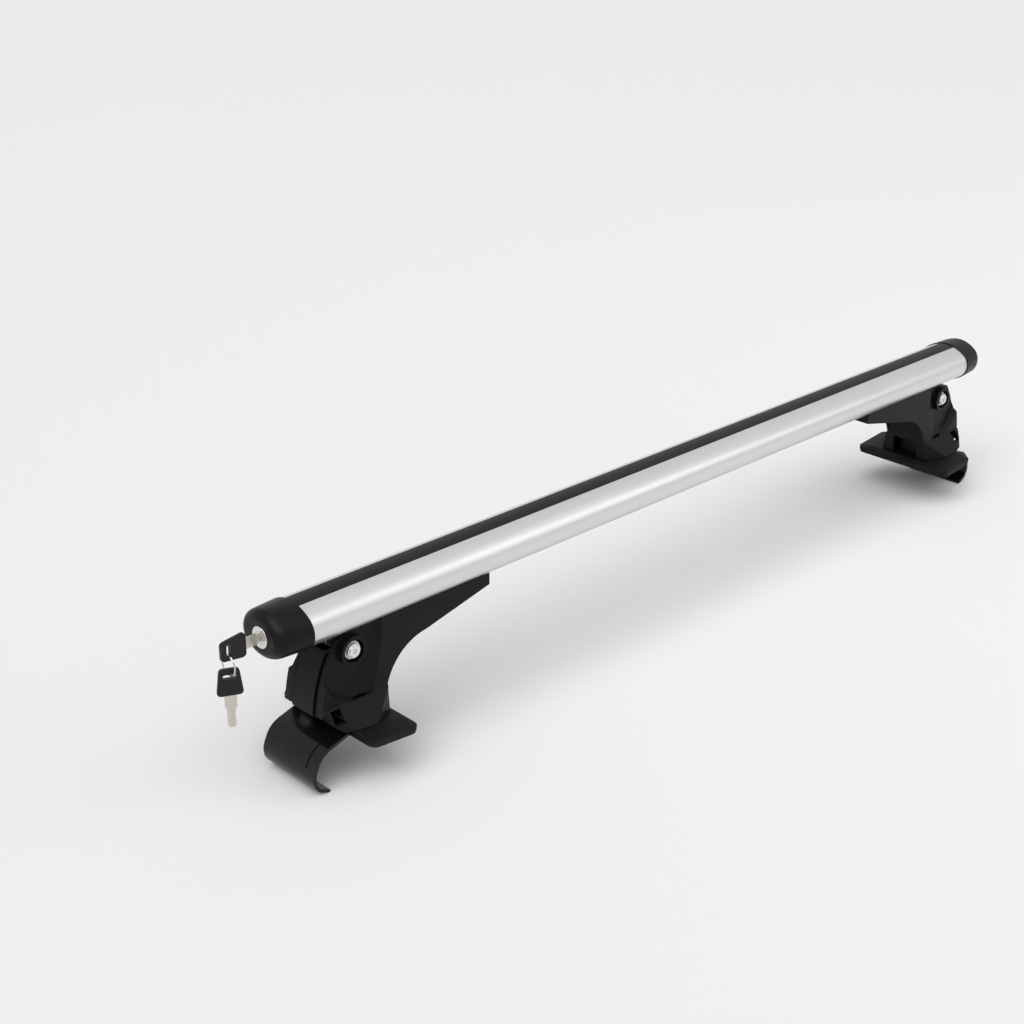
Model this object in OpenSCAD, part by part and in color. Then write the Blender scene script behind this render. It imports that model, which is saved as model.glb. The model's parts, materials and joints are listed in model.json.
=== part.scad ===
// Roof crossbar: an oval aluminium bar with two pivoting feet and a locking end cap.
// The origin is the middle of the bar on its axis. X runs along the bar, with the lock at its low end,
// Y runs from the front of the bar to its back, and Z is up.

/* [Bar] */
// Length of tube that shows between the two end caps
bar_len = 1116; // [800:1:1500]
// Width of the tube
tube_w = 69; // [64:0.5:78]
// Height of the tube
tube_h = 47; // [45:0.5:51]
// Radius of the tube's two side faces
side_r = 18.2; // [16:0.1:19]
// Thickness of the tube's outer wall
tube_wall = 2.2; // [1.6:0.1:3]
// Thickness of the channel walls inside the tube
web_t = 2; // [1.5:0.1:2.2]
// Thickness of the lips beside each channel's mouth
lip_t = 3; // [2:0.1:3.5]
// Width of the upper channel's mouth
top_mouth = 22; // [16:0.5:24]
// Inner width of the upper channel
top_chan_w = 30; // [27:0.5:34]
// Width of the lower channel's mouth
low_mouth = 13; // [10:0.5:15]
// Inner width of the lower channel
low_chan_w = 26; // [22:0.5:30]
// Inner height of each channel
chan_h = 10; // [9:0.1:10.4]

/* [End caps] */
// Length of a cap beyond the tube that shows
cap_len = 38; // [36:0.5:50]
// Length of tube that a cap covers
cap_lap = 2; // [1.5:0.1:3]
// Height of a cap's rim above the tube
cap_skirt = 1.3; // [1:0.1:2]
// Radius of the round edge at a cap's outer end
cap_round = 10; // [7:0.5:12]
// Narrowing of a cap towards its outer end, on each side
cap_taper = 4.9; // [0:0.1:6]
// Thickness of a cap's end face
cap_face = 5; // [4:0.5:7]
// Thickness of the steel end plates
plate_t = 3; // [2:0.5:4]

/* [Lock and keys] */
// Offset of the lock from the bar's axis, towards the front
lock_off = 2; // [0:0.5:9]
// Radius of the lock's face
lock_face_r = 11.2; // [10.6:0.1:12]
// Radius of the lock's barrel
barrel_r = 9.5; // [8.5:0.25:10]
// Radius of the lock's plug
plug_r = 6; // [5.5:0.25:6.5]
// Length of the cam across the lock's axis
cam_len = 14; // [12:0.5:14.5]
// Length of the key's blade
blade_len = 34; // [32:1:45]
// Length of blade that shows outside the lock
blade_out = 16; // [10:1:18]
// Length of a key's head
key_head_len = 28; // [26:1:36]
// Width of a key's head
key_head_w = 25; // [22:1:30]
// Thickness of a key's head
key_head_t = 5; // [4:0.5:6]
// Radius of the key ring, to the middle of its wire
ring_r = 10.2; // [9:0.1:13]
// Radius of the key ring's wire
ring_wire = 0.75; // [0.5:0.05:1]

/* [Feet] */
// Distance of the foot's pivot from the bar's end, at the lock
left_foot_in = 52; // [46:1:250]
// Distance of the foot's pivot from the bar's end, at the plain cap
right_foot_in = 41; // [38:1:250]
// Depth of the pivot below the bar's axis
pivot_drop = 38.4; // [38:0.1:44]
// Reach of the arm from the pivot to its tip
arm_reach = 178; // [150:1:200]
// Height of the arm's tip
tip_h = 15.4; // [12:0.1:18]
// Half the width of the foot over its arms and cheeks
cheek_y = 29; // [28.5:0.25:31]
// Half the gap between the two cheeks
cheek_gap = 18.5; // [18:0.1:19.5]
// Half the width of the flared skirt where it meets the pad
skirt_y = 49; // [44:0.5:54]
// Half the width of the core between the cheeks
core_y = 16; // [14.5:0.25:16.5]
// Thickness of the moulded walls
mould_t = 3.2; // [2.5:0.1:4]
// Depth of the foot body's underside below the bar's axis
base_drop = 113; // [110:0.5:118]
// Angle that the foot opens about its pivot
open_angle = 20; // [10:1:22]

/* [Pad and hook] */
// Width of the pad, across the bar
pad_w = 140; // [118:1:144]
// Thickness of the pad
pad_t = 12; // [10:0.5:16]
// Reach of the pad from the pivot towards the bar's middle
pad_in = 46; // [40:0.5:52]
// Reach of the pad from the pivot towards the bar's end
pad_out = 17; // [15:0.5:20]
// Width of the hook
hook_w = 80; // [64:0.2:90]
// Thickness of the hook's steel
hook_t = 3.4; // [2.5:0.1:4]
// Radius of the hook's upper bend
hook_r = 24; // [18:0.5:28]
// Radius of the hook's lower bend
hook_low_r = 20; // [14:0.5:24]
// Length of the hook's lip
lip_len = 10.5; // [6:0.5:14]
// Tilt of the pad, falling towards the bar's middle
pad_tilt = 5.1; // [0:0.1:8]

/* [Fasteners] */
// Radius of the pivot bolt
bolt_r = 4; // [3.5:0.25:4.5]
// Radius of the pivot bolt's head
bolt_head_r = 7.8; // [7:0.1:8.5]
// Radius of the tension bolts
tension_r = 3; // [2.5:0.25:4]
// Length of a tension bolt's shank
tension_len = 94; // [80:1:110]
// Radius of the hook and pad screws
screw_r = 3; // [2.5:0.25:3]

/* [Hidden] */
$fn = 72;
FOOT_PIECES = ["end_plate", "plate_screws", "tension_bolt", "tension_washer", "slider", "pivot_bolt",
    "pivot_nut", "pivot_washers", "spacers", "foot_body", "foot_core", "hook", "hook_screws", "pad",
    "pad_screw"];

// Clearances
run = 0.05;
seat = 0.3;
slide_gap = 0.3;
eps = 0.5;

// The tube's section is an oval of four arcs: two side arcs and two flatter arcs above and below. The side
// arcs stand out by a hair, so that each pair of arcs crosses at a clear point.
half_w = tube_w / 2;
half_h = tube_h / 2;
side_c = half_w - side_r;
hair = 0.05;
rise = half_h - side_r + hair;
arc_c = (side_c * side_c - rise * rise) / (2 * rise);
arc_r = half_h + arc_c;
tube_end = bar_len / 2 + cap_lap;
chan_out = half_h - lip_t;
chan_in = chan_out - chan_h;
chan_mid = (chan_out + chan_in) / 2;
port_y = half_w - tube_wall - 3.8;
port_r = 4;
port_bore = 2;

// Lengths along the bar at its lock end, measured from the bar's middle
cap_end = bar_len / 2 + cap_len;
side_turn = atan2(arc_c, side_c);
plate_out = tube_end + plate_t;
washer_t = 1.5;
head_h = 2 * tension_r;
head_out = plate_out + washer_t + head_h;
face_t = 1.2;
lock_y = -lock_off;
cap_wall = 1.6;
plate_inset = 1.8;
barrel_len = 14;
barrel_in = cap_end - barrel_len;
plug_in = barrel_in - 5;
cam_t = 3;
cam_w = 5;
cam_out = tube_end - 1.5;
tail_r = 2.6;
slot_w = cam_w + 1;
slot_len = cam_len + 1;
key_tip = cap_end + face_t + blade_out - blade_len;
blade_w = 8;
blade_t = 2.2;
shoulder_w = 11.5;
head_in = cap_end + face_t + blade_out;
head_end = head_in + key_head_len;
key_slot_w = 13;
key_slot_h = 4.6;
key_slot_in = 8;
key_slot_at = head_end - key_slot_in;
ring_x = key_slot_at;
hang_gap = 0.1;
spare_turn = 25;
ring_in = ring_r - ring_wire;
ring_sag = sqrt(ring_in * ring_in - pow(key_head_t / 2 / cos(spare_turn) + 0.05, 2));
ring_z = -key_slot_w / 2 + hang_gap - ring_sag;
spare_top = ring_z - ring_sag + hang_gap + key_slot_in - key_slot_h / 2;

// The foot's two large arcs share one centre, given from the pivot along the bar and from the bar's axis
arch_at = [-95.8, -105.3];
arch_r = 58.6;
outer_r = 139;
arm_top = -11.4;
arm_slope = 13;
floor_y = cheek_gap + mould_t;
boss_r = 15.5;
boss_y = cheek_y - 1;
sink_r = 12;
sink_y = boss_y - 5;
washer_r = 9.4;
ear_r = 13.2;
hang_y = 10.5;
slot_y = hang_y + 0.7;
block_half = 20;
leg_in = -38.5;
leg_out = 44;
rib_t = 2.5;
web_z = -half_h - seat - mould_t;
tip_low = arm_top - tip_h;

// The foot's base is a plane that meets the pivot's upright at base_drop and falls towards the bar's middle
function base_at(x) = -base_drop + x * tan(pad_tilt);
function on_base(p) = [p[0] * cos(pad_tilt) - p[1] * sin(pad_tilt),
    p[0] * sin(pad_tilt) + p[1] * cos(pad_tilt) - base_drop];
module at_base() translate([0, 0, -base_drop]) rotate([0, -pad_tilt, 0]) children();

// The hook's centre line, by lengths and headings from its flange outwards
flange_in = -20;
flange_out = 9;
fall = 16.7;
fall_len = 36.5;
steep = 66;
steep_len = 6;
tuck = 125;
lip_turn = 155;
lip_r = 8;

function along(p, angle, len) = p + len * [cos(angle), -sin(angle)];
function bend(p, r, a0, a1, n) = [for (i = [1:n]) let (a = a0 + (a1 - a0) * i / n)
    p + r * [sin(a) - sin(a0), cos(a) - cos(a0)]];
function last(v) = v[len(v) - 1];

flange = [on_base([flange_in, -hook_t / 2]), on_base([flange_out, -hook_t / 2])];
slope_end = along(last(flange), fall, fall_len);
upper_bend = bend(slope_end, hook_r, fall, steep, 9);
steep_end = along(last(upper_bend), steep, steep_len);
lower_bend = bend(steep_end, hook_low_r, steep, tuck, 10);
lip_bend = bend(last(lower_bend), lip_r, tuck, lip_turn, 5);
lip_end = along(last(lip_bend), lip_turn, lip_len);
hook_line = concat(flange, [slope_end], upper_bend, [steep_end], lower_bend, lip_bend, [lip_end]);
raised_line = concat([along(slope_end, fall, -8), slope_end], upper_bend, [steep_end]);

// Offsets each point of a line sideways along the bisector of its two neighbours
function side_of(v, i, d) = let (
        a = v[max(i - 1, 0)],
        b = v[min(i + 1, len(v) - 1)],
        u = (b - a) / norm(b - a))
    v[i] + d * [-u[1], u[0]];
module ribbon(line, t, lift = 0)
    polygon(concat(
        [for (i = [0:len(line) - 1]) side_of(line, i, t / 2 + lift)],
        [for (i = [len(line) - 1:-1:0]) side_of(line, i, -t / 2)]));

// Placing helpers
module along_x(x0, x1) translate([x0, 0, 0]) rotate([90, 0, 90]) linear_extrude(x1 - x0) children();
module across_y(y0, y1) translate([0, y1, 0]) rotate([90, 0, 0]) linear_extrude(y1 - y0) children();
module rod_x(x0, x1, r, y = 0, z = 0) translate([x0, y, z]) rotate([0, 90, 0]) cylinder(r = r, h = x1 - x0);
module rod_y(y0, y1, r, x = 0, z = 0) translate([x, y0, z]) rotate([-90, 0, 0]) cylinder(r = r, h = y1 - y0);
module rod_z(z0, z1, r, x = 0, y = 0) translate([x, y, z0]) cylinder(r = r, h = z1 - z0);
module box(lo, hi) translate(lo) cube(hi - lo);
module both_sides() {
    children();
    mirror([0, 1, 0]) children();
}
module lock_end() mirror([1, 0, 0]) children();
module at_lock() lock_end() translate([0, lock_y, 0]) children();
module bar_end(side) {
    if (side == "left") mirror([1, 0, 0]) children();
    else children();
}
function foot_x(side) = bar_len / 2 - (side == "left" ? left_foot_in : right_foot_in);
module at_foot(side) bar_end(side) translate([foot_x(side), 0, 0]) children();

// Bar
module oval(grow = 0) {
    split = side_c * arc_r / norm([side_c, arc_c]);
    intersection() {
        translate([0, -arc_c]) circle(r = arc_r + grow, $fn = 160);
        translate([0, arc_c]) circle(r = arc_r + grow, $fn = 160);
        union() {
            square([2 * split, 4 * half_h], center = true);
            for (s = [-1, 1]) translate([s * side_c, 0]) circle(r = side_r + grow, $fn = 120);
        }
    }
}
module channel_box(w, grow, dir)
    translate([-w / 2 - grow, dir > 0 ? chan_in - grow : -half_h])
        square([w + 2 * grow, half_h - chan_in + grow]);
module channel_void(w, mouth, dir) {
    translate([-w / 2, dir > 0 ? chan_in : -chan_out]) square([w, chan_h]);
    translate([-mouth / 2, dir > 0 ? chan_out - eps : -half_h - eps]) square([mouth, lip_t + 2 * eps]);
}
module bar_section() {
    difference() {
        union() {
            difference() {
                oval();
                oval(-tube_wall);
            }
            intersection() {
                oval(-tube_wall / 2);
                union() {
                    channel_box(top_chan_w, web_t, 1);
                    channel_box(low_chan_w, web_t, -1);
                    for (s = [-1, 1]) translate([s * port_y, 0]) circle(r = port_r);
                }
            }
        }
        channel_void(top_chan_w, top_mouth, 1);
        channel_void(low_chan_w, low_mouth, -1);
        for (s = [-1, 1]) translate([s * port_y, 0]) circle(r = port_bore);
    }
}
module bar_tube() color("#c9cbcd") along_x(-tube_end, tube_end) bar_section();
module top_strip() {
    barb_y = top_chan_w / 2 - 1;
    neck_y = top_mouth / 2 - seat / 2;
    strip_end = bar_len / 2 - seat;
    barb_top = chan_out - seat / 2;
    color("#2b2b2c") along_x(-strip_end, strip_end) {
        intersection() {
            oval(0.5);
            translate([-neck_y, barb_top - 1]) square([2 * neck_y, half_h]);
        }
        difference() {
            translate([-barb_y, barb_top - 2.4]) square([2 * barb_y, 2.4]);
            translate([0, barb_top - 3.4]) circle(r = 2.2);
        }
    }
}

// End caps
module cap_form(start, end, inset) {
    turn = cap_round - inset;
    hull() {
        cap_slice(start, inset);
        for (a = [0:18:90]) cap_slice(end - turn * (1 - sin(a)), inset + turn * (1 - cos(a)));
    }
}
function arc_points(at, r, a0, a1, n) = [for (i = [0:n]) let (a = a0 + (a1 - a0) * i / n)
    at + r * [cos(a), sin(a)]];
function half_oval(grow) = concat(
    arc_points([side_c, 0], side_r + grow, -side_turn, side_turn, 16),
    arc_points([0, -arc_c], arc_r + grow, side_turn + 1, 179 - side_turn, 14));
module cap_slice(x, inset)
    translate([x, 0, 0]) rotate([90, 0, 90]) linear_extrude(0.1)
        scale([1 - cap_taper * (x - bar_len / 2) / cap_len / half_w, 1])
            polygon(concat(half_oval(cap_skirt - inset), -half_oval(cap_skirt - inset)));
module cap_shell()
    difference() {
        cap_form(bar_len / 2, cap_end - 0.1, 0);
        along_x(bar_len / 2 - 1, tube_end + 0.25) oval(0.25);
        along_x(tube_end, plate_out + 0.25) oval(-plate_inset + 0.25);
        cap_form(plate_out, cap_end - cap_face, cap_wall);
    }
module plain_cap() color("#262728") cap_shell();
module lock_cap()
    color("#262728") lock_end() difference() {
        cap_shell();
        rod_x(cap_end - cap_face - 1, cap_end + 1, barrel_r + run, lock_y);
    }

// Lock
module lock_barrel()
    color("#c4c5c6") at_lock() difference() {
        union() {
            rod_x(barrel_in, cap_end + face_t / 2, barrel_r);
            rod_x(cap_end + 0.02, cap_end + face_t, lock_face_r);
        }
        rod_x(barrel_in - 1, cap_end + face_t + 1, plug_r + run);
    }
module barrel_nut()
    color("#8f9294") at_lock() difference() {
        rod_x(cap_end - cap_face - 3, cap_end - cap_face, barrel_r + 3, $fn = 6);
        rod_x(cap_end - cap_face - 4, cap_end, barrel_r + run);
    }
module lock_plug()
    color("#b9babb") at_lock() difference() {
        union() {
            rod_x(plug_in, cap_end + face_t - 0.3, plug_r);
            rod_x(cam_out, plug_in + 1, tail_r);
        }
        box([key_tip - 0.4, -blade_t / 2 - 0.15, -blade_w / 2 - 0.15],
            [cap_end + 2, blade_t / 2 + 0.15, blade_w / 2 + 0.15]);
    }
module lock_cam()
    color("#a5a7a9") at_lock() difference() {
        box([cam_out - cam_t, -cam_w / 2, -cam_len / 2], [cam_out, cam_w / 2, cam_len / 2]);
        rod_x(cam_out - cam_t - 1, cam_out + 1, 1.55);
    }
module cam_screw()
    color("#9a9c9e") at_lock() {
        rod_x(cam_out - cam_t - 2, cam_out - cam_t, 2.4);
        rod_x(cam_out - cam_t - eps, cam_out - 0.02, 1.5);
    }

// Keys, drawn with the blade's axis along X and the head at the far end
module blade_outline() {
    tip = 3;
    bit = 1.1;
    bits = 6;
    gap = (blade_len - blade_out - 4) / bits;
    points = concat(
        [[0, 0.6 - blade_w / 2 + tip / 2], [tip, -blade_w / 2]],
        [[blade_len - blade_out + 2, -blade_w / 2], [blade_len - blade_out + 4, -shoulder_w / 2]],
        [[blade_len + 3, -shoulder_w / 2], [blade_len + 3, shoulder_w / 2]],
        [[blade_len - blade_out + 4, shoulder_w / 2], [blade_len - blade_out + 2, blade_w / 2]],
        [for (i = [bits:-1:1]) for (k = [0, 1])
            [tip + gap * (i - k * 0.5), blade_w / 2 - (k == 0 ? 0 : bit * (1 + i % 2))]],
        [[tip, blade_w / 2], [0, blade_w / 2 - tip / 2 - 0.6]]);
    polygon(points);
}
module key_blade_solid(x0)
    difference() {
        translate([x0, 0, 0]) across_y(-blade_t / 2, blade_t / 2) blade_outline();
        for (s = [-1, 1])
            box([x0 - 1, s > 0 ? blade_t / 2 - 0.7 : -blade_t / 2 - 1, -0.8],
                [x0 + blade_len - blade_out, s > 0 ? blade_t / 2 + 1 : -blade_t / 2 + 0.7, 0.8]);
    }
module head_outline(shrink = 0) {
    far = key_head_w / 2 - 2.5;
    near = key_head_w / 2;
    r = 4;
    hull() {
        for (s = [-1, 1]) {
            translate([r, s * (near - r)]) circle(r = r - shrink, $fn = 32);
            translate([key_head_len - r, s * (far - r)]) circle(r = r - shrink, $fn = 32);
        }
    }
}
module key_slot() {
    at = key_head_len - key_slot_in;
    for (s = [-1, 1]) translate([at, s * (key_slot_w - key_slot_h) / 2]) circle(d = key_slot_h);
    translate([at - key_slot_h / 2, -(key_slot_w - key_slot_h) / 2])
        square([key_slot_h, key_slot_w - key_slot_h]);
}
module key_head_solid(x0)
    difference() {
        translate([x0, 0, 0]) {
            across_y(-key_head_t / 2, key_head_t / 2) head_outline(0.8);
            across_y(-key_head_t / 2 + 0.8, key_head_t / 2 - 0.8) head_outline();
        }
        translate([x0, 0, 0]) across_y(-key_head_t, key_head_t) key_slot();
        box([x0 - 1, -blade_t / 2, -shoulder_w / 2], [x0 + 3, blade_t / 2, shoulder_w / 2]);
    }
module key_blade() color("#b5ab9c") at_lock() key_blade_solid(key_tip);
module key_head() color("#1d1e1f") at_lock() key_head_solid(head_in);
module key_ring()
    color("#bfc0c1") at_lock() translate([ring_x, 0, ring_z]) rotate([0, 90, 0])
        rotate_extrude() translate([ring_r, 0]) circle(r = ring_wire, $fn = 24);
module spare_place()
    at_lock() translate([ring_x, 0, spare_top]) rotate([0, 0, spare_turn]) rotate([0, -90, 0])
        translate([-key_head_len, 0, 0]) children();
module spare_head() color("#1d1e1f") spare_place() key_head_solid(0);
module spare_blade() color("#b5ab9c") spare_place() key_blade_solid(-blade_len);

// Ends of the bar
module end_plate()
    color("#9fa1a3") difference() {
        along_x(tube_end, plate_out) oval(-plate_inset);
        rod_x(tube_end - 1, plate_out + 1, tension_r + 0.1, 0, -chan_mid);
        box([tube_end - 1, lock_y - slot_w / 2, -slot_len / 2],
            [plate_out + 1, lock_y + slot_w / 2, slot_len / 2]);
        for (s = [-1, 1]) rod_x(tube_end - 1, plate_out + 1, port_bore + 0.2, s * port_y);
    }
module plate_screws()
    color("#b3b5b7") for (s = [-1, 1]) difference() {
        union() {
            rod_x(plate_out, plate_out + 2.2, 3.4, s * port_y);
            rod_x(tube_end - 14, plate_out + eps, port_bore - run, s * port_y);
        }
        for (turn = [0, 90]) translate([plate_out + 2.2, s * port_y, 0]) rotate([turn, 0, 0])
            cube([1.6, 3.6, 0.9], center = true);
    }
module tension_washer()
    color("#b3b5b7") difference() {
        rod_x(plate_out, plate_out + washer_t, 1.9 * tension_r, 0, -chan_mid);
        rod_x(plate_out - 1, plate_out + 3, tension_r + 0.2, 0, -chan_mid);
    }
module tension_bolt()
    color("#a9abad") difference() {
        union() {
            rod_x(plate_out + washer_t, head_out, 1.6 * tension_r, 0, -chan_mid);
            rod_x(plate_out - tension_len, plate_out + washer_t + eps, tension_r, 0, -chan_mid);
        }
        rod_x(head_out - head_h / 2, head_out + 1, 0.96 * tension_r, 0, -chan_mid, $fn = 6);
    }

// Slider and pivot, measured from the pivot towards the bar's end
module hanger_outline() {
    intersection() {
        union() {
            translate([0, -pivot_drop]) circle(r = hang_y);
            polygon([[-18, -half_h - seat], [21, -half_h - seat], [21, -half_h - 4],
                [9, -pivot_drop - 6], [-9, -pivot_drop - 6], [-18, -half_h - 6]]);
        }
        translate([-40, -pivot_drop - 20]) square([80, pivot_drop + 20 - half_h - seat]);
    }
}
module slider()
    color("#b9bbbd") difference() {
        union() {
            box([-block_half, -low_chan_w / 2 + slide_gap, -chan_out + slide_gap],
                [block_half, low_chan_w / 2 - slide_gap, -chan_in - slide_gap]);
            box([-14, -low_mouth / 2 + slide_gap, -half_h - 1],
                [18, low_mouth / 2 - slide_gap, -chan_out + 1]);
            across_y(-hang_y, hang_y) hanger_outline();
        }
        rod_x(-block_half - 1, block_half + 1, tension_r + run, 0, -chan_mid);
        rod_y(-hang_y - 1, hang_y + 1, bolt_r + run, 0, -pivot_drop);
    }
module pivot_bolt() {
    head_y = sink_y + washer_t + 2 * run;
    color("#d6d7d8") difference() {
        union() {
            rod_y(-head_y - 3, -head_y, bolt_head_r, 0, -pivot_drop);
            rod_y(-head_y - 4.4, -head_y - 3, bolt_head_r - 1.4, 0, -pivot_drop);
            rod_y(-head_y - eps, head_y + 7.4, bolt_r, 0, -pivot_drop);
        }
        rod_y(-head_y - 5, -head_y - 1.4, 2.9, 0, -pivot_drop, $fn = 6);
    }
}
module pivot_nut() {
    nut_y = sink_y + washer_t + 2 * run;
    color("#b3b5b7") difference() {
        rod_y(nut_y, nut_y + 6.5, 7.5, 0, -pivot_drop, $fn = 6);
        rod_y(nut_y - 1, nut_y + 8, bolt_r + run, 0, -pivot_drop);
    }
}
module pivot_washers()
    color("#b3b5b7") both_sides() difference() {
        rod_y(sink_y + run, sink_y + washer_t + run, washer_r, 0, -pivot_drop);
        rod_y(sink_y - 1, sink_y + 4, bolt_r + 2 * run, 0, -pivot_drop);
    }
module spacers()
    color("#dcdad2") both_sides() difference() {
        rod_y(core_y + run, cheek_gap - run, 8.5, 0, -pivot_drop);
        rod_y(core_y - 1, cheek_gap + 1, bolt_r + 2 * run, 0, -pivot_drop);
    }

// Foot, measured from the pivot towards the bar's end
module foot_outline() {
    meet = arch_at + (arch_r - 0.5) * [sin(arm_slope), cos(arm_slope)];
    difference() {
        intersection() {
            polygon([
                [-arm_reach, arm_top],
                [-arm_reach, tip_low],
                meet,
                arch_at + [arch_r, 0],
                [leg_in + 2, base_at(leg_in + 2)],
                [28.5, base_at(28.5)],
                [39, -101],
                [43, -97],
                [46, -88],
                [46, arm_top]]);
            translate(arch_at) circle(r = outer_r, $fn = 240);
        }
        translate(arch_at) circle(r = arch_r, $fn = 120);
    }
}
module recess_cut()
    hull() {
        across_y(cheek_y, cheek_y + 1)
            polygon([[-35, 10], [-33.7, -36.3], [-27.3, -66.3], [-19.3, -92.8], [-11.8, -98.3], [28, -80.3],
                [38.5, -61.8], [33.2, -37.4], [20.3, -19.2], [8.5, 10]]);
        across_y(floor_y, floor_y + 1)
            polygon([[-29, 0], [-21.4, -34.2], [-3.2, -78.1], [25.7, -76.8], [34.2, -59.8], [29, -37.4],
                [16, -19.2], [8.5, 0]]);
    }
module skirt(inset) {
    near = cheek_gap - 1;
    hull() {
        box([leg_in - 2.5 + inset, near, -90], [leg_out - inset, cheek_y - inset, -89]);
        at_base() translate([0, 0, -inset]) linear_extrude(1)
            polygon([[leg_in + inset, near], [leg_in + inset, 34 - inset], [-10, skirt_y - inset],
                [12, skirt_y - inset], [28 - inset, 45 - inset], [28 - inset, near]]);
        box([38 - inset, near, -101 - inset], [39 - inset, 36 - inset, -100]);
    }
}
module cheek() {
    difference() {
        union() {
            across_y(cheek_gap, cheek_y) foot_outline();
            intersection() {
                across_y(cheek_gap, skirt_y + 1) foot_outline();
                skirt(0);
            }
        }
        recess_cut();
        difference() {
            skirt(mould_t);
            for (z = [-94, -102]) box([-50, 0, z], [50, skirt_y, z + 1.6]);
            for (x = [-21, 4.5]) box([x, 0, -130], [x + 2, skirt_y, -80]);
            box([-50, 0, -96], [50, floor_y, -62]);
        }
        box([23, floor_y, -103], [35, skirt_y + 10, -91]);
    }
    rod_y(cheek_gap, boss_y, boss_r, 0, -pivot_drop);
}
// The foot's top clears the tube at rest and when it is fully open. The second cut is a little deeper, so
// that the corner between the two stays clear of the tube on the way.
module tube_relief() {
    along_x(-arm_reach - 20, 100) oval(seat);
    translate([0, 0, -pivot_drop]) rotate([0, open_angle, 0]) translate([0, 0, pivot_drop])
        along_x(-40, 100) oval(seat + 0.5);
}
module foot_body()
    color("#2a2b2c") difference() {
        union() {
            both_sides() cheek();
            across_y(-cheek_y, cheek_y) intersection() {
                foot_outline();
                translate([-arm_reach, -200]) square([arm_reach + leg_in, 200]);
            }
        }
        tube_relief();
        pitch = (arm_reach + leg_in - mould_t) / 4;
        for (i = [0:3])
            box([leg_in - (i + 1) * pitch, -cheek_y + mould_t, -200],
                [leg_in - i * pitch - rib_t, cheek_y - mould_t, web_z]);
        both_sides() rod_y(sink_y, cheek_y + 1, sink_r, 0, -pivot_drop);
        rod_y(-cheek_y, cheek_y, bolt_r + 2 * run, 0, -pivot_drop);
    }
module core_outline()
    intersection() {
        polygon([[-ear_r + 0.4, -pivot_drop - 3], [-8.5, -30], [9, -34.5], [29.5, -36], [64, -36],
            [64, -94], [45, -97.5], [20, base_at(20)], [-24, base_at(-24)], [-22, -78]]);
        translate(arch_at) circle(r = outer_r + 1.8, $fn = 240);
    }
module foot_core()
    color("#2c2d2e") difference() {
        union() {
            across_y(-core_y, core_y) core_outline();
            rod_y(-core_y, core_y, ear_r, 0, -pivot_drop);
        }
        across_y(-slot_y, slot_y) {
            translate([0, -pivot_drop]) circle(r = hang_y + 2);
            polygon([[-34, 0], [26.5, 0], [26.5, -33.5], [11, -pivot_drop - 9], [-11, -pivot_drop - 9],
                [-34, -30]]);
        }
        rod_y(-core_y - 1, core_y + 1, bolt_r + 2 * run, 0, -pivot_drop);
        at_base() for (at = concat(hook_screw_at, [pad_screw_at]))
            rod_z(-1, 16, screw_r + run, at[0], at[1]);
    }

// Hook, pad and their screws, placed on the foot's base
hook_screw_at = [[-13, -9], [-13, 9]];
pad_screw_at = [2, 0];
screw_head_r = 5.2;
screw_head_t = 3;
pad_seat = 4;
pad_head_top = -pad_t + pad_seat + screw_head_t;

module hook()
    color("#1b1c1d") difference() {
        union() {
            across_y(-hook_w / 2, hook_w / 2) ribbon(hook_line, hook_t);
            across_y(-hook_w / 3, hook_w / 3) ribbon(raised_line, hook_t, 0.9);
            rod_y(-hook_w / 2, hook_w / 2, hook_t / 2, lip_end[0], lip_end[1]);
        }
        at_base() for (at = concat(hook_screw_at, [pad_screw_at]))
            rod_z(-hook_t - 1, 1, screw_r + 0.3, at[0], at[1]);
    }
module socket_screw(head_z, at)
    difference() {
        union() {
            rod_z(head_z - screw_head_t, head_z, screw_head_r, at[0], at[1]);
            rod_z(head_z - eps, 15, screw_r, at[0], at[1]);
        }
        translate([at[0], at[1], head_z - screw_head_t - 0.1]) cylinder(r = 2.3, h = 1.7, $fn = 6);
    }
module hook_screws() color("#a9abad") at_base() for (at = hook_screw_at) socket_screw(-hook_t, at);
module pad_screw() color("#a9abad") at_base() socket_screw(pad_head_top, pad_screw_at);
module pad_plan(x0, x1, y, r, z0, z1)
    for (x = [x0 + r, x1 - r]) for (s = [-1, 1])
        translate([x, s * (y - r), z0]) cylinder(r = r, h = z1 - z0, $fn = 32);
module pad() {
    bed = -hook_t / 2 - 0.02;
    below = concat([on_base([flange_in - 0.4, -hook_t - 0.02])],
        [for (i = [0:2]) side_of(hook_line, i, bed)], [slope_end + [0, 20], on_base([flange_in - 0.4, 20])]);
    color("#242526") difference() {
        at_base() hull() {
            pad_plan(-pad_in + 0.7, pad_out - 4, pad_w / 2 - 0.7, 8, -pad_t, -pad_t + 0.5);
            pad_plan(-pad_in, pad_out, pad_w / 2, 8, -pad_t + 4, -4);
            pad_plan(-pad_in + 5, pad_out - 1.5, skirt_y + 2, 4, -0.5, 0);
        }
        across_y(-hook_w / 2 - 0.4, hook_w / 2 + 0.4) polygon(below);
        at_base() {
            for (at = hook_screw_at)
                rod_z(-hook_t - screw_head_t - 0.5, 1, screw_head_r + 0.6, at[0], at[1]);
            rod_z(-pad_t - 1, 1, screw_r + 0.3, pad_screw_at[0], pad_screw_at[1]);
            rod_z(-pad_t - 1, pad_head_top, screw_head_r + 1, pad_screw_at[0], pad_screw_at[1]);
        }
    }
}

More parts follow.
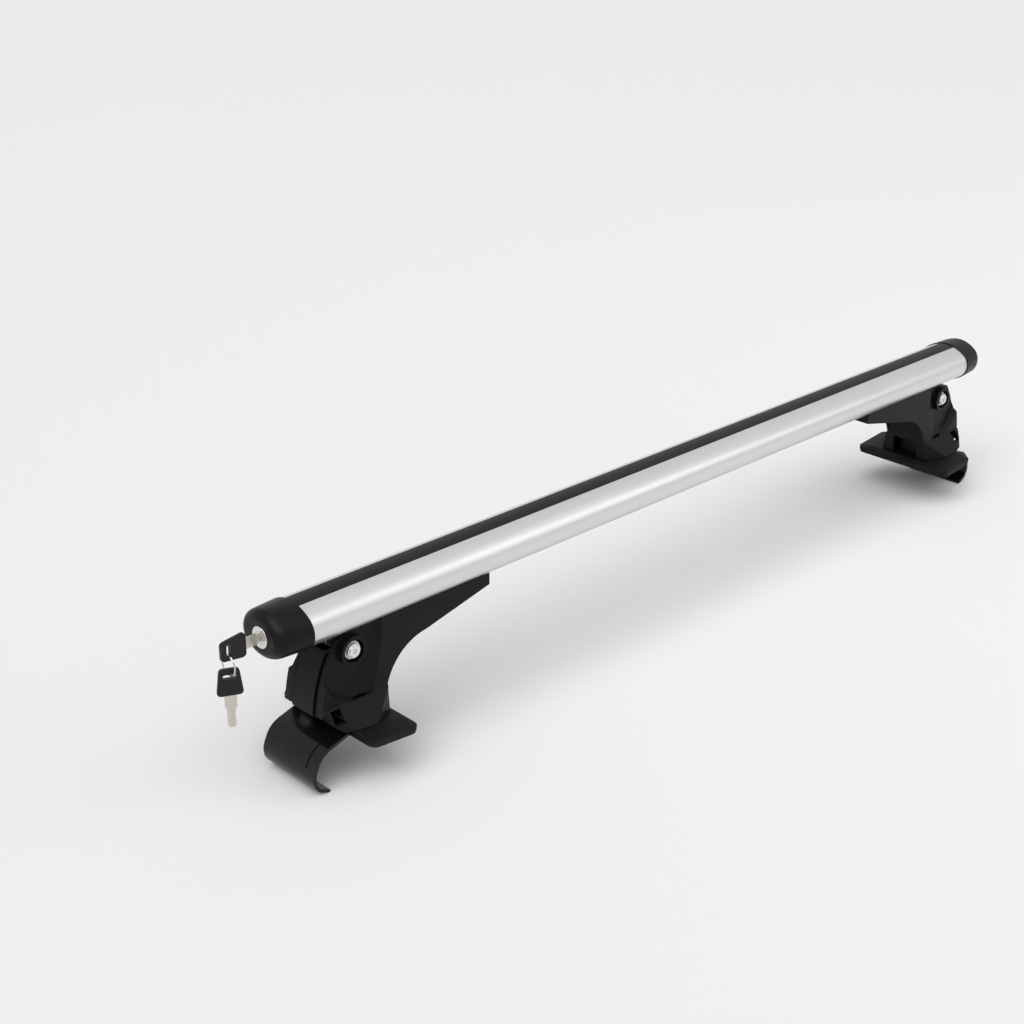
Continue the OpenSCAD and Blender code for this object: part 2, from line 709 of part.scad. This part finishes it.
module foot_piece(piece) {
    if (piece == "slider") slider();
    if (piece == "pivot_bolt") pivot_bolt();
    if (piece == "pivot_nut") pivot_nut();
    if (piece == "pivot_washers") pivot_washers();
    if (piece == "spacers") spacers();
    if (piece == "foot_body") foot_body();
    if (piece == "foot_core") foot_core();
    if (piece == "hook") hook();
    if (piece == "hook_screws") hook_screws();
    if (piece == "pad") pad();
    if (piece == "pad_screw") pad_screw();
}
module end_piece(piece) {
    if (piece == "end_plate") end_plate();
    if (piece == "plate_screws") plate_screws();
    if (piece == "tension_bolt") tension_bolt();
    if (piece == "tension_washer") tension_washer();
}

bar_tube();
top_strip();
lock_cap();
lock_barrel();
barrel_nut();
lock_plug();
lock_cam();
cam_screw();
key_blade();
key_head();
key_ring();
spare_blade();
spare_head();
plain_cap();
for (side = ["left", "right"]) for (piece = FOOT_PIECES) {
    at_foot(side) foot_piece(piece);
    bar_end(side) end_piece(piece);
}
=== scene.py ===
"""Dresses a roof rack crossbar: rounds the edges of its solids and gives them their finishes."""

import json
import math

import bpy
from bpy.props import FloatProperty, FloatVectorProperty, PointerProperty
from mathutils import Matrix, Vector


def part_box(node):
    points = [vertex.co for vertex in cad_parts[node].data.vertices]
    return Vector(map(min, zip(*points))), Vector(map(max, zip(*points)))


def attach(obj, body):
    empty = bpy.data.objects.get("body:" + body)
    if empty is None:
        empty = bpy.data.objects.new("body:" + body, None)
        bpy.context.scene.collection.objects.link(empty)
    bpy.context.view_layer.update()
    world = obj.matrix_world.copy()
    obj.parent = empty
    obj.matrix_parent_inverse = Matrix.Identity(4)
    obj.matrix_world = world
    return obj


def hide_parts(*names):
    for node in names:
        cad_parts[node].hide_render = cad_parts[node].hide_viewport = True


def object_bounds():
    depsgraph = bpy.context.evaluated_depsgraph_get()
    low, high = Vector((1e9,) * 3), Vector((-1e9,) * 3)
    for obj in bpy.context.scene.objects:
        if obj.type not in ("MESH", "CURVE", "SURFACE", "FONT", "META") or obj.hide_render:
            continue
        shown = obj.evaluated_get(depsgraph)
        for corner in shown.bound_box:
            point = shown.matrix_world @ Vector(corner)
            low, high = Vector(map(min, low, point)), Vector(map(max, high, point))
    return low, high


bl_info = {
    "name": "Roof rack crossbar",
    "version": (1, 0, 0),
    "blender": (4, 5, 0),
    "location": "View3D > Sidebar > Crossbar",
    "description": "Builds the looks of a roof rack crossbar around its packed solids",
    "category": "Object",
}

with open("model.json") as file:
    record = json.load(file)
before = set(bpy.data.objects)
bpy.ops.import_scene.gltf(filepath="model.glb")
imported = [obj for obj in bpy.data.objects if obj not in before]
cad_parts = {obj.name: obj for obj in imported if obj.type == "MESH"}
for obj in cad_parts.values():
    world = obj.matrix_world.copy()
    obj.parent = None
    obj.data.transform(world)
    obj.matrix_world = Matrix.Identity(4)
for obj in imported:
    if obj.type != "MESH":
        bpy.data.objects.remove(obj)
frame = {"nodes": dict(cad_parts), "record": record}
CAD_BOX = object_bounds()
BODIES = frame["record"]["behaviour"]["bodies"]
SLOTS = {row["node"]: row["material_slot"] for row in frame["record"]["subparts"]}
SIDES = ("left", "right")
MM = 0.001

# Rounding of the edges of each kind of piece
BAR_LIP = 0.35 * MM
STRIP_EDGE = 0.5 * MM
CAP_RIM = 0.35 * MM
LOCK_FACE_EDGE = 0.45 * MM
LOCK_PLUG_EDGE = 0.25 * MM
KEY_HEAD_EDGE = 0.5 * MM
KEY_BLADE_EDGE = 0.15 * MM
HOOK_EDGE = 0.7 * MM
PAD_EDGE = 1.3 * MM
BOLT_HEAD_EDGE = 0.5 * MM
NUT_EDGE = 0.3 * MM
WASHER_EDGE = 0.2 * MM
SPACER_EDGE = 0.25 * MM
SLIDER_EDGE = 0.35 * MM

# An edge is rounded where its faces meet at more than this angle, in degrees.
ANY_CORNER = 20
SHALLOW_CORNER = 25
CORNER = 30
CLEAR_CORNER = 40
SQUARE_CORNER = 50

MERGE_DISTANCE = 1e-6
FLAT_ANGLE = math.radians(0.2)
SMOOTH_ANGLE = math.radians(32)

# The split key ring: turns of flattened wire, with a gap between them and between their ends
RING_TURNS = 2
RING_PITCH = 1.03
RING_OPEN_END = 12
RING_WIRE_FILL = 0.96
RING_SECTION_SIDES = 16
RING_STEPS = 160
RING_SMOOTH_ANGLE = math.radians(50)

# Suns, each with the side that it shines from, the angle of its disc in degrees and its strength
SUNS = (
    ("top_light", (-0.35, -0.3, 1.0), 70, 1.6),
    ("side_light", (-0.9, -0.2, 0.9), 40, 0.65),
)
# The soft panel, the camera and the floor, in metres, and the camera's sensor in millimetres
PANEL_SIZE = (1.25, 2.2)
PANEL_PLACE = (1.5, -1.5, 1.65)
PANEL_FACING = (1.7, -1.5, 1.65)
FLOOR_SIZE = 40
CAMERA_REACH = (0.05, 40)
SENSOR_WIDTH = 36


# Shader helpers

class Wire:
    """A shader socket that can be used in Python arithmetic."""

    def __init__(self, tree, socket):
        self.tree = tree
        self.socket = socket

    def _math(self, operation, other):
        return self.tree.node("ShaderNodeMath", {"operation": operation}, {0: self, 1: other})

    def __add__(self, other):
        return self._math("ADD", other)

    __radd__ = __add__

    def __mul__(self, other):
        return self._math("MULTIPLY", other)

    __rmul__ = __mul__

    def greater(self, other):
        return self._math("MAXIMUM", other)

    def smoothstep(self, low, high):
        return self.tree.node("ShaderNodeMapRange", {"interpolation_type": "SMOOTHSTEP"},
                              {"Value": self, "From Min": low, "From Max": high})


class NodeTree:
    """A node tree whose nodes are all made by one method."""

    def __init__(self, tree):
        self.nodes = tree.nodes
        self.links = tree.links

    def feed(self, socket, value):
        if isinstance(value, Wire):
            self.links.new(value.socket, socket)
        else:
            socket.default_value = value

    def node(self, kind, settings, values, output=0):
        made = self.nodes.new(kind)
        for name, value in settings.items():
            setattr(made, name, value)
        for name, value in values.items():
            self.feed(made.inputs[name], value)
        return Wire(self, made.outputs[output])


class Finish(NodeTree):
    """A material whose nodes are written as expressions."""

    def __init__(self, name, roughness, metallic=0.0, coat=0.0, coat_roughness=0.1, specular=0.5):
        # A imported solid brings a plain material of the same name, which gives way to this one.
        packed = bpy.data.materials.get(name)
        if packed:
            packed.name = f"{name}_packed"
        self.material = bpy.data.materials.new(name)
        self.material.use_nodes = True
        super().__init__(self.material.node_tree)
        self.shader = self.nodes["Principled BSDF"]
        self.set("Roughness", roughness)
        self.set("Metallic", metallic)
        self.set("Coat Weight", coat)
        self.set("Coat Roughness", coat_roughness)
        self.set("Specular IOR Level", specular)
        self.place = self.node("ShaderNodeTexCoord", {}, {}, "Object")

    def set(self, name, value):
        self.feed(self.shader.inputs[name], value)

    def noise(self, scale, detail=2.0, stretch=(1, 1, 1), rough=0.5):
        at = self.node("ShaderNodeMapping", {}, {"Vector": self.place, "Scale": stretch})
        return self.node("ShaderNodeTexNoise", {}, {"Vector": at, "Scale": scale, "Detail": detail,
                                                    "Roughness": rough}, "Fac")

    def mix(self, factor, first, second):
        """Mixes two colours. The sockets 0, 6 and 7 are the factor and colours A and B."""
        return self.node("ShaderNodeMix", {"data_type": "RGBA"},
                         {0: factor, 6: (*first, 1), 7: (*second, 1)}, 2)

    def bump(self, height, strength, distance):
        self.set("Normal", self.node("ShaderNodeBump", {}, {"Height": height, "Strength": strength,
                                                            "Distance": distance}))


def shade(color, factor):
    return tuple(channel * factor for channel in color)


def brushed_bar(name, color):
    """Bright anodised aluminium with the fine lines of extrusion along the bar."""
    finish = Finish(name, roughness=0.3, metallic=1.0)
    lines = finish.noise(scale=900, detail=3, stretch=(0.012, 1, 1))
    cloud = finish.noise(scale=14)
    finish.set("Base Color", finish.mix(lines * 0.6 + cloud * 0.4, shade(color, 0.93), color))
    finish.set("Roughness", 0.28 + lines * 0.12 + cloud * 0.05)
    finish.bump(lines, strength=0.12, distance=0.04 * MM)


def worn_metal(name, color, roughness, scale=500, tint=0.9):
    """Plated or bare metal, a little darker and rougher in spots."""
    finish = Finish(name, roughness, metallic=1.0)
    spots = finish.noise(scale, detail=3)
    cloud = finish.noise(scale=60)
    finish.set("Base Color", finish.mix(cloud, shade(color, tint), color))
    finish.set("Roughness", spots * 0.14 + (roughness - 0.07))
    finish.bump(spots, strength=0.1, distance=0.03 * MM)


def moulded(name, color, roughness, grain, depth, light=1.5, specular=0.5):
    """Plastic or rubber with a spark-eroded grain and faint cloudiness."""
    finish = Finish(name, roughness, specular=specular)
    fine = finish.noise(scale=grain, detail=4, rough=0.65)
    cloud = finish.noise(scale=22, detail=3)
    finish.set("Base Color", finish.mix(cloud.smoothstep(0.3, 0.75), color, shade(color, light)))
    finish.set("Roughness", (roughness - 0.08) + fine * 0.12 + cloud * 0.05)
    finish.bump(fine, strength=0.45, distance=depth)


def coated(name, color, roughness):
    """Gloss paint on steel, with the slight orange peel of powder coat."""
    finish = Finish(name, roughness, coat=0.1, coat_roughness=0.12, specular=0.22)
    peel = finish.noise(scale=420)
    cloud = finish.noise(scale=30)
    finish.set("Base Color", finish.mix(cloud, color, shade(color, 1.6)))
    finish.set("Roughness", (roughness - 0.05) + peel * 0.1)
    finish.bump(peel, strength=0.25, distance=0.06 * MM)


def make_finishes(looks):
    """Makes every finish once, by the record's names of material slots."""
    plastic = tuple(looks.plastic)
    brushed_bar("bar_aluminium", tuple(looks.bar))
    coated("hook_paint", tuple(looks.paint), roughness=0.26)
    worn_metal("slider_aluminium", (0.7, 0.71, 0.72), roughness=0.38, scale=300, tint=0.86)
    worn_metal("lock_nickel", (0.78, 0.77, 0.74), roughness=0.24, tint=0.86)
    worn_metal("zinc_steel", (0.6, 0.61, 0.62), roughness=0.34, tint=0.8)
    worn_metal("bolt_chrome", (0.8, 0.8, 0.8), roughness=0.18)
    worn_metal("ring_steel", (0.8, 0.79, 0.77), roughness=0.2)
    worn_metal("key_nickel", (0.66, 0.62, 0.55), roughness=0.33, scale=700, tint=0.85)
    moulded("strip_rubber", tuple(looks.strip), roughness=0.42, grain=1500, depth=0.01 * MM,
            light=1.3, specular=0.16)
    moulded("pad_rubber", tuple(looks.rubber), roughness=0.5, grain=1600, depth=0.014 * MM,
            light=1.4, specular=0.14)
    moulded("cap_plastic", plastic, roughness=0.36, grain=2200, depth=0.012 * MM, specular=0.15)
    moulded("foot_plastic", plastic, roughness=0.4, grain=1900, depth=0.014 * MM, specular=0.13)
    moulded("key_plastic", (0.004, 0.004, 0.0043), roughness=0.28, grain=2600, depth=0.004 * MM,
            specular=0.3)
    moulded("spacer_plastic", (0.55, 0.54, 0.5), roughness=0.5, grain=1200, depth=0.03 * MM,
            light=1.1)


# Modelling helpers

def only(piece):
    bpy.ops.object.select_all(action="DESELECT")
    piece.select_set(True)
    bpy.context.view_layer.objects.active = piece


def wear(piece, slot):
    piece.data.materials.clear()
    piece.data.materials.append(bpy.data.materials[slot])


def body_of(node):
    return next(body for body, nodes in BODIES.items() if node in nodes)


def stand_in(piece, node):
    """Puts a finished piece in a node's place, on its body and in its finish."""
    wear(piece, SLOTS[node])
    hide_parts(node)
    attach(piece, body_of(node))


def merged_copy(node, name):
    """A copy of a node's solid with its loose triangles joined into clean faces."""
    source = frame["nodes"][node]
    piece = bpy.data.objects.new(name, source.data.copy())
    bpy.context.scene.collection.objects.link(piece)
    only(piece)
    bpy.ops.object.mode_set(mode="EDIT")
    bpy.ops.mesh.select_all(action="SELECT")
    bpy.ops.mesh.remove_doubles(threshold=MERGE_DISTANCE)
    bpy.ops.mesh.dissolve_limited(angle_limit=FLAT_ANGLE)
    bpy.ops.object.mode_set(mode="OBJECT")
    return piece


def soften(piece, width, segments, angle):
    """Rounds a piece's edges and smooths what lies between them."""
    edge = piece.modifiers.new("Edge", "BEVEL")
    edge.width = width
    edge.segments = segments
    edge.limit_method = "ANGLE"
    edge.angle_limit = math.radians(angle)
    bpy.ops.object.modifier_apply(modifier=edge.name)
    bpy.ops.object.shade_smooth_by_angle(angle=SMOOTH_ANGLE)
    flats = piece.modifiers.new("Flats", "WEIGHTED_NORMAL")
    flats.keep_sharp = True
    bpy.ops.object.modifier_apply(modifier=flats.name)


def refined(node, name, width, segments=2, angle=CORNER):
    """Stands a rounded piece of the same form in for a node."""
    piece = merged_copy(node, name)
    soften(piece, width, segments, angle)
    stand_in(piece, node)


# Settings

def colour(name, description, default):
    """The settings of a colour property."""
    return {"name": name, "description": description, "subtype": "COLOR", "size": 3,
            "default": default, "min": 0, "max": 1}


class CrossbarLooks(bpy.types.PropertyGroup):
    bar: FloatVectorProperty(**colour("Bar", "Colour of the aluminium bar", (0.74, 0.74, 0.737)))
    strip: FloatVectorProperty(**colour("Strip", "Colour of the rubber strip",
                                        (0.006, 0.006, 0.0063)))
    plastic: FloatVectorProperty(**colour("Plastic", "Colour of the feet and caps",
                                          (0.0045, 0.0045, 0.0048)))
    rubber: FloatVectorProperty(**colour("Rubber", "Colour of the pads", (0.005, 0.005, 0.0052)))
    paint: FloatVectorProperty(**colour("Hook paint", "Colour of the hooks",
                                        (0.003, 0.003, 0.0031)))
    ring_leaf: FloatProperty(name="Key ring wire", unit="LENGTH",
                             description="Thickness of one turn of the key ring",
                             default=0.7 * MM, min=0.4 * MM, max=1 * MM)
    edge: FloatProperty(name="Edge", description="Rounding of the edges of the feet", unit="LENGTH",
                        default=0.8 * MM, min=0.1 * MM, max=2 * MM)


class CrossbarStage(bpy.types.PropertyGroup):
    eye: FloatVectorProperty(name="Camera", description="Place of the camera",
                             subtype="TRANSLATION", size=3, default=(-1.4039, -1.1571, 0.7466))
    azimuth: FloatProperty(name="Azimuth", description="Turn of the camera about the upright",
                           subtype="ANGLE", default=math.radians(-44.47))
    elevation: FloatProperty(name="Elevation", description="Angle of the camera above the level",
                             subtype="ANGLE", default=math.radians(23.95))
    roll: FloatProperty(name="Roll", description="Roll of the camera", subtype="ANGLE",
                        default=math.radians(0.43))
    focal: FloatProperty(name="Focal length", description="Focal length on a 36 mm sensor",
                         unit="CAMERA", default=59.62, min=20, max=200)
    floor: FloatVectorProperty(**colour("Floor", "Colour of the floor", (0.86, 0.86, 0.865)))
    wall: FloatVectorProperty(**colour("Wall", "Colour that the room shows and reflects",
                                       (0.72, 0.72, 0.725)))
    room: FloatProperty(name="Room light", description="Strength of the even light of the room",
                        default=0.36, min=0, max=2)
    panel: FloatProperty(name="Panel", description="Power of the soft panel in front",
                         unit="POWER", default=8, min=0, max=200)


# Operators

class MakeFinishes(bpy.types.Operator):
    """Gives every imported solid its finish"""
    bl_idname = "crossbar.finishes"
    bl_label = "Finish the solids"

    def execute(self, context):
        make_finishes(context.scene.crossbar_looks)
        for node, slot in SLOTS.items():
            wear(frame["nodes"][node], slot)
        return {"FINISHED"}


class MakeBar(bpy.types.Operator):
    """Rounds the lips of the extruded bar and the corners of its rubber strip"""
    bl_idname = "crossbar.bar"
    bl_label = "Bar"

    def execute(self, context):
        refined("bar_tube", "extruded_bar", BAR_LIP, angle=SQUARE_CORNER)
        refined("top_strip", "rubber_strip", STRIP_EDGE)
        return {"FINISHED"}


class MakeCaps(bpy.types.Operator):
    """Rounds the rims of the moulded end caps and smooths their crowns"""
    bl_idname = "crossbar.caps"
    bl_label = "End caps"

    def execute(self, context):
        for node in ("lock_cap", "plain_cap"):
            refined(node, f"moulded_{node}", CAP_RIM, angle=CLEAR_CORNER)
        return {"FINISHED"}


class MakeLock(bpy.types.Operator):
    """Rounds the edges of the lock's turned face and plug"""
    bl_idname = "crossbar.lock"
    bl_label = "Lock"

    def execute(self, context):
        refined("lock_barrel", "turned_lock_face", LOCK_FACE_EDGE, segments=3)
        refined("lock_plug", "turned_lock_plug", LOCK_PLUG_EDGE)
        return {"FINISHED"}


class MakeKeys(bpy.types.Operator):
    """Rounds the keys' heads and breaks the edges of their cut blades"""
    bl_idname = "crossbar.keys"
    bl_label = "Keys"

    def execute(self, context):
        for key in ("key", "spare"):
            refined(f"{key}_head", f"{key}_moulded_head", KEY_HEAD_EDGE, segments=3,
                    angle=ANY_CORNER)
            refined(f"{key}_blade", f"{key}_cut_blade", KEY_BLADE_EDGE)
        return {"FINISHED"}


class MakeKeyRing(bpy.types.Operator):
    """Winds the split key ring from two turns of flattened wire"""
    bl_idname = "crossbar.key_ring"
    bl_label = "Key ring"

    def execute(self, context):
        leaf = context.scene.crossbar_looks.ring_leaf
        pitch = leaf * RING_PITCH
        low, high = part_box("key_ring")
        centre = (Vector(low) + Vector(high)) / 2
        wire = (high[0] - low[0]) / 2
        radius = (high[1] - low[1]) / 2 - wire
        bpy.ops.object.select_all(action="DESELECT")
        bpy.ops.mesh.primitive_circle_add(vertices=RING_SECTION_SIDES, radius=1,
                                          location=(0, 0, 0))
        ring = context.active_object
        ring.name = "split_key_ring"
        for vertex in ring.data.vertices:
            vertex.co.x *= leaf / 2
            vertex.co.y = vertex.co.y * wire * RING_WIRE_FILL + radius
        coil = ring.modifiers.new("Coil", "SCREW")
        coil.axis = "X"
        coil.angle = math.radians(360 * RING_TURNS - RING_OPEN_END)
        coil.screw_offset = pitch * RING_TURNS
        coil.steps = coil.render_steps = RING_STEPS
        bpy.ops.object.modifier_apply(modifier=coil.name)
        for vertex in ring.data.vertices:
            vertex.co += centre - Vector((pitch * RING_TURNS / 2, 0, 0))
        bpy.ops.object.mode_set(mode="EDIT")
        bpy.ops.mesh.select_all(action="SELECT")
        bpy.ops.mesh.fill_holes(sides=0)
        bpy.ops.mesh.select_all(action="SELECT")
        bpy.ops.mesh.normals_make_consistent(inside=False)
        bpy.ops.object.mode_set(mode="OBJECT")
        bpy.ops.object.shade_smooth_by_angle(angle=RING_SMOOTH_ANGLE)
        stand_in(ring, "key_ring")
        return {"FINISHED"}


class MakeFeet(bpy.types.Operator):
    """Rounds the moulded bodies and cores of the feet"""
    bl_idname = "crossbar.feet"
    bl_label = "Feet"

    def execute(self, context):
        edge = context.scene.crossbar_looks.edge
        for side in SIDES:
            refined(f"{side}_foot_body", f"{side}_moulded_body", edge)
            refined(f"{side}_foot_core", f"{side}_moulded_core", edge * 1.2)
        return {"FINISHED"}


class MakeHooks(bpy.types.Operator):
    """Rounds the bent steel hooks and the rubber pads above them"""
    bl_idname = "crossbar.hooks"
    bl_label = "Hooks and pads"

    def execute(self, context):
        for side in SIDES:
            refined(f"{side}_hook", f"{side}_bent_hook", HOOK_EDGE, segments=3,
                    angle=CLEAR_CORNER)
            refined(f"{side}_pad", f"{side}_rubber_pad", PAD_EDGE, segments=3,
                    angle=SHALLOW_CORNER)
        return {"FINISHED"}


class MakeFasteners(bpy.types.Operator):
    """Rounds the pivot bolts, nuts, washers, spacers and sliders"""
    bl_idname = "crossbar.fasteners"
    bl_label = "Fasteners"

    def execute(self, context):
        for side in SIDES:
            for node, name, width, segments in (
                    ("pivot_bolt", "chromed_bolt", BOLT_HEAD_EDGE, 3),
                    ("pivot_nut", "chamfered_nut", NUT_EDGE, 2),
                    ("pivot_washers", "pressed_washers", WASHER_EDGE, 2),
                    ("spacers", "turned_spacers", SPACER_EDGE, 2),
                    ("slider", "extruded_slider", SLIDER_EDGE, 2)):
                refined(f"{side}_{node}", f"{side}_{name}", width, segments, SQUARE_CORNER)
        return {"FINISHED"}


class MakeStage(bpy.types.Operator):
    """Lays the floor and places the lights and the camera"""
    bl_idname = "crossbar.stage"
    bl_label = "Stage"

    def execute(self, context):
        stage = context.scene.crossbar_stage
        self.lay_floor(context, stage.floor)
        self.light_room(context, stage)
        self.place_lamps(context, stage.panel)
        self.place_camera(context, stage)
        context.scene.view_settings.view_transform = "Standard"
        return {"FINISHED"}

    def lay_floor(self, context, color):
        bpy.ops.object.select_all(action="DESELECT")
        bpy.ops.mesh.primitive_plane_add(size=FLOOR_SIZE, location=(0, 0, CAD_BOX[0][2]))
        floor = context.active_object
        floor.name = "floor"
        bpy.ops.object.transform_apply(location=True, rotation=True, scale=True)
        paper = Finish("floor_paper", roughness=0.9, specular=0.05)
        paper.set("Base Color", (*color, 1))
        floor.data.materials.append(paper.material)

    def light_room(self, context, stage):
        """An even light, with the wall's colour where it is seen, mirrored or looked through to."""
        world = bpy.data.worlds.new("studio")
        context.scene.world = world
        world.use_nodes = True
        sky = NodeTree(world.node_tree)
        room = sky.nodes["Background"]
        sky.feed(room.inputs["Color"], (1, 1, 1, 1))
        sky.feed(room.inputs["Strength"], stage.room)
        wall = sky.node("ShaderNodeBackground", {}, {"Color": (*stage.wall, 1), "Strength": 1})
        path = sky.node("ShaderNodeLightPath", {}, {}).socket.node
        camera, glossy, through = (Wire(sky, path.outputs[f"Is {ray} Ray"])
                                   for ray in ("Camera", "Glossy", "Transmission"))
        blend = sky.node("ShaderNodeMixShader", {},
                         {0: camera.greater(glossy).greater(through),
                          1: Wire(sky, room.outputs[0]), 2: wall})
        sky.feed(sky.nodes["World Output"].inputs["Surface"], blend)

    def place_lamps(self, context, power):
        for name, toward, angle, strength in SUNS:
            sun = self.lamp(context, name, "SUN", toward)
            sun.data.angle = math.radians(angle)
            sun.data.energy = strength
        panel = self.lamp(context, "panel_light", "AREA", PANEL_FACING)
        panel.data.shape = "RECTANGLE"
        panel.data.size, panel.data.size_y = PANEL_SIZE
        panel.data.energy = power
        panel.location = PANEL_PLACE
        panel.visible_camera = False

    def lamp(self, context, name, kind, toward):
        """A lamp that shines from the side that it is turned toward."""
        lamp = bpy.data.objects.new(name, bpy.data.lights.new(name, kind))
        context.scene.collection.objects.link(lamp)
        lamp.rotation_euler = Vector(toward).to_track_quat("Z", "Y").to_euler()
        return lamp

    def place_camera(self, context, stage):
        lens = bpy.data.cameras.new("camera")
        lens.sensor_fit = "HORIZONTAL"
        lens.sensor_width = SENSOR_WIDTH
        lens.lens = stage.focal
        lens.clip_start, lens.clip_end = CAMERA_REACH
        camera = bpy.data.objects.new("camera", lens)
        context.scene.collection.objects.link(camera)
        turn, lift = stage.azimuth, stage.elevation
        back = Vector((math.sin(turn) * math.cos(lift), -math.cos(turn) * math.cos(lift),
                       math.sin(lift)))
        right = Vector((math.cos(turn), math.sin(turn), 0))
        axes = Matrix((right, back.cross(right), back)).transposed()
        axes = axes @ Matrix.Rotation(stage.roll, 3, "Z")
        camera.matrix_world = Matrix.Translation(stage.eye) @ axes.to_4x4()
        context.scene.camera = camera


class CrossbarPanel(bpy.types.Panel):
    """Lists the steps that dress the crossbar"""
    bl_idname = "VIEW3D_PT_crossbar"
    bl_label = "Crossbar"
    bl_space_type = "VIEW_3D"
    bl_region_type = "UI"
    bl_category = "Crossbar"

    def draw(self, context):
        for step in STEPS:
            self.layout.operator(step.bl_idname)
        for group in (context.scene.crossbar_looks, context.scene.crossbar_stage):
            for name in group.__annotations__:
                self.layout.prop(group, name)


STEPS = (MakeFinishes, MakeBar, MakeCaps, MakeLock, MakeKeys, MakeKeyRing, MakeFeet, MakeHooks,
         MakeFasteners, MakeStage)
CLASSES = (CrossbarLooks, CrossbarStage, *STEPS, CrossbarPanel)


def register():
    for item in CLASSES:
        bpy.utils.register_class(item)
    bpy.types.Scene.crossbar_looks = PointerProperty(type=CrossbarLooks)
    bpy.types.Scene.crossbar_stage = PointerProperty(type=CrossbarStage)


def unregister():
    del bpy.types.Scene.crossbar_stage
    del bpy.types.Scene.crossbar_looks
    for item in reversed(CLASSES):
        bpy.utils.unregister_class(item)


def run_step(step):
    group, name = step.bl_idname.split(".")
    getattr(getattr(bpy.ops, group), name)()


def main():
    register()
    for step in STEPS:
        run_step(step)


if __name__ == "__main__":
    main()
